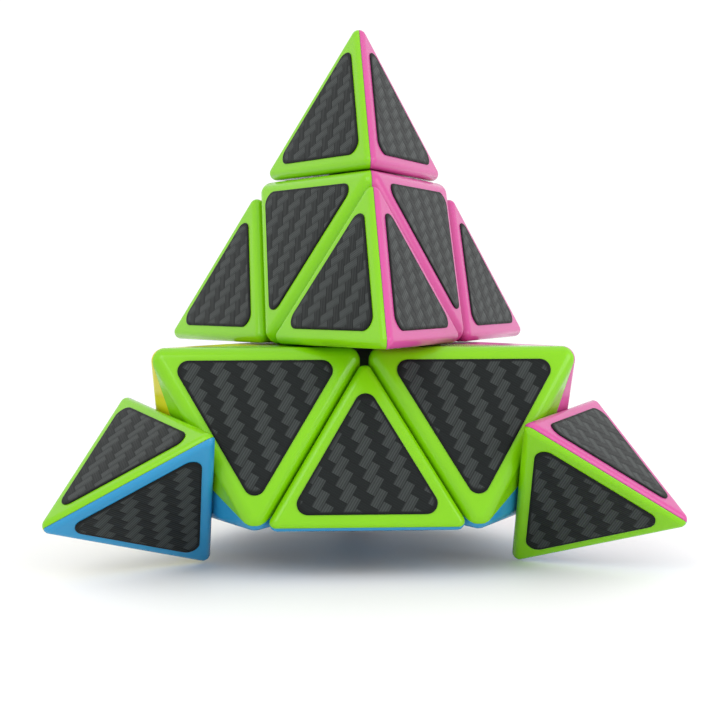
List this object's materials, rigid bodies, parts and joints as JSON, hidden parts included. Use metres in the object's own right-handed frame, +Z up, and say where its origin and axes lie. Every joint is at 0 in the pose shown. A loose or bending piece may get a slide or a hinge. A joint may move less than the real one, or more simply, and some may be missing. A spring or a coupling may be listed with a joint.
{
  "type": "pyramid twisty puzzle",
  "caption": "Tetrahedral twisty puzzle with turning corner tips and a turning upper layer, in bright plastic colours with dark carbon-weave triangle stickers.",
  "frame": {"origin": "centre of the core, where the four turning axes meet", "axes": "+Z up through the top tip; +X to the right along the front lower side; +Y to the back tip; the lower lime face looks along -Y"},
  "size_m": [0.101, 0.096, 0.0905],
  "materials": {
    "lime_plastic": "gloss",
    "pink_plastic": "gloss",
    "yellow_plastic": "gloss",
    "blue_plastic": "gloss",
    "frame_plastic": "satin moulded",
    "sticker_film": "embossed carbon weave, satin",
    "steel": "zinc plated"
  },
  "bodies": {
    "lower_block": {"core": "frame_plastic", "axis_screws": "steel", "tension_springs": "steel", "spring_washers": "steel", "left_axial_frame": "frame_plastic", "left_axial_shell_lime": "lime_plastic", "left_axial_shell_yellow": "yellow_plastic", "left_axial_shell_blue": "blue_plastic", "right_axial_frame": "frame_plastic", "right_axial_shell_lime": "lime_plastic", "right_axial_shell_pink": "pink_plastic", "right_axial_shell_blue": "blue_plastic", "back_axial_frame": "frame_plastic", "back_axial_shell_yellow": "yellow_plastic", "back_axial_shell_pink": "pink_plastic", "back_axial_shell_blue": "blue_plastic", "front_edge_foot": "frame_plastic", "front_edge_shell_lime": "lime_plastic", "front_edge_shell_blue": "blue_plastic", "right_edge_foot": "frame_plastic", "right_edge_shell_pink": "pink_plastic", "right_edge_shell_blue": "blue_plastic", "left_edge_foot": "frame_plastic", "left_edge_shell_yellow": "yellow_plastic", "left_edge_shell_blue": "blue_plastic", "lower_stickers": "sticker_film"},
    "upper_layer": {"top_axial_frame": "frame_plastic", "top_axial_shell_lime": "lime_plastic", "top_axial_shell_pink": "pink_plastic", "top_axial_shell_yellow": "yellow_plastic", "upper_front_edge_foot": "frame_plastic", "upper_front_edge_shell_lime": "lime_plastic", "upper_front_edge_shell_pink": "pink_plastic", "upper_right_edge_foot": "frame_plastic", "upper_right_edge_shell_pink": "pink_plastic", "upper_right_edge_shell_yellow": "yellow_plastic", "upper_left_edge_foot": "frame_plastic", "upper_left_edge_shell_yellow": "yellow_plastic", "upper_left_edge_shell_lime": "lime_plastic", "upper_stickers": "sticker_film"},
    "top_tip": {"top_tip_base": "frame_plastic", "top_tip_shell_lime": "lime_plastic", "top_tip_shell_pink": "pink_plastic", "top_tip_shell_yellow": "yellow_plastic", "top_tip_stickers": "sticker_film"},
    "left_tip": {"left_tip_base": "frame_plastic", "left_tip_shell_lime": "lime_plastic", "left_tip_shell_yellow": "yellow_plastic", "left_tip_shell_blue": "blue_plastic", "left_tip_stickers": "sticker_film"},
    "right_tip": {"right_tip_base": "frame_plastic", "right_tip_shell_lime": "lime_plastic", "right_tip_shell_pink": "pink_plastic", "right_tip_shell_blue": "blue_plastic", "right_tip_stickers": "sticker_film"},
    "back_tip": {"back_tip_base": "frame_plastic", "back_tip_shell_yellow": "yellow_plastic", "back_tip_shell_pink": "pink_plastic", "back_tip_shell_blue": "blue_plastic", "back_tip_stickers": "sticker_film"}
  },
  "joints": [
    {"name": "layer_turn", "type": "hinge", "parent": "lower_block", "child": "upper_layer", "pos_m": [0, 0, 0], "axis": [0, 0, 1], "continuous": true},
    {"name": "top_tip_turn", "type": "hinge", "parent": "upper_layer", "child": "top_tip", "pos_m": [0, 0, 0], "axis": [0, 0, 1], "continuous": true},
    {"name": "left_tip_turn", "type": "hinge", "parent": "lower_block", "child": "left_tip", "pos_m": [0, 0, 0], "axis": [-0.8165, -0.4714, -0.3333], "continuous": true},
    {"name": "right_tip_turn", "type": "hinge", "parent": "lower_block", "child": "right_tip", "pos_m": [0, 0, 0], "axis": [0.8165, -0.4714, -0.3333], "continuous": true},
    {"name": "back_tip_turn", "type": "hinge", "parent": "lower_block", "child": "back_tip", "pos_m": [0, 0, 0], "axis": [0, 0.9428, -0.3333], "continuous": true}
  ]
}
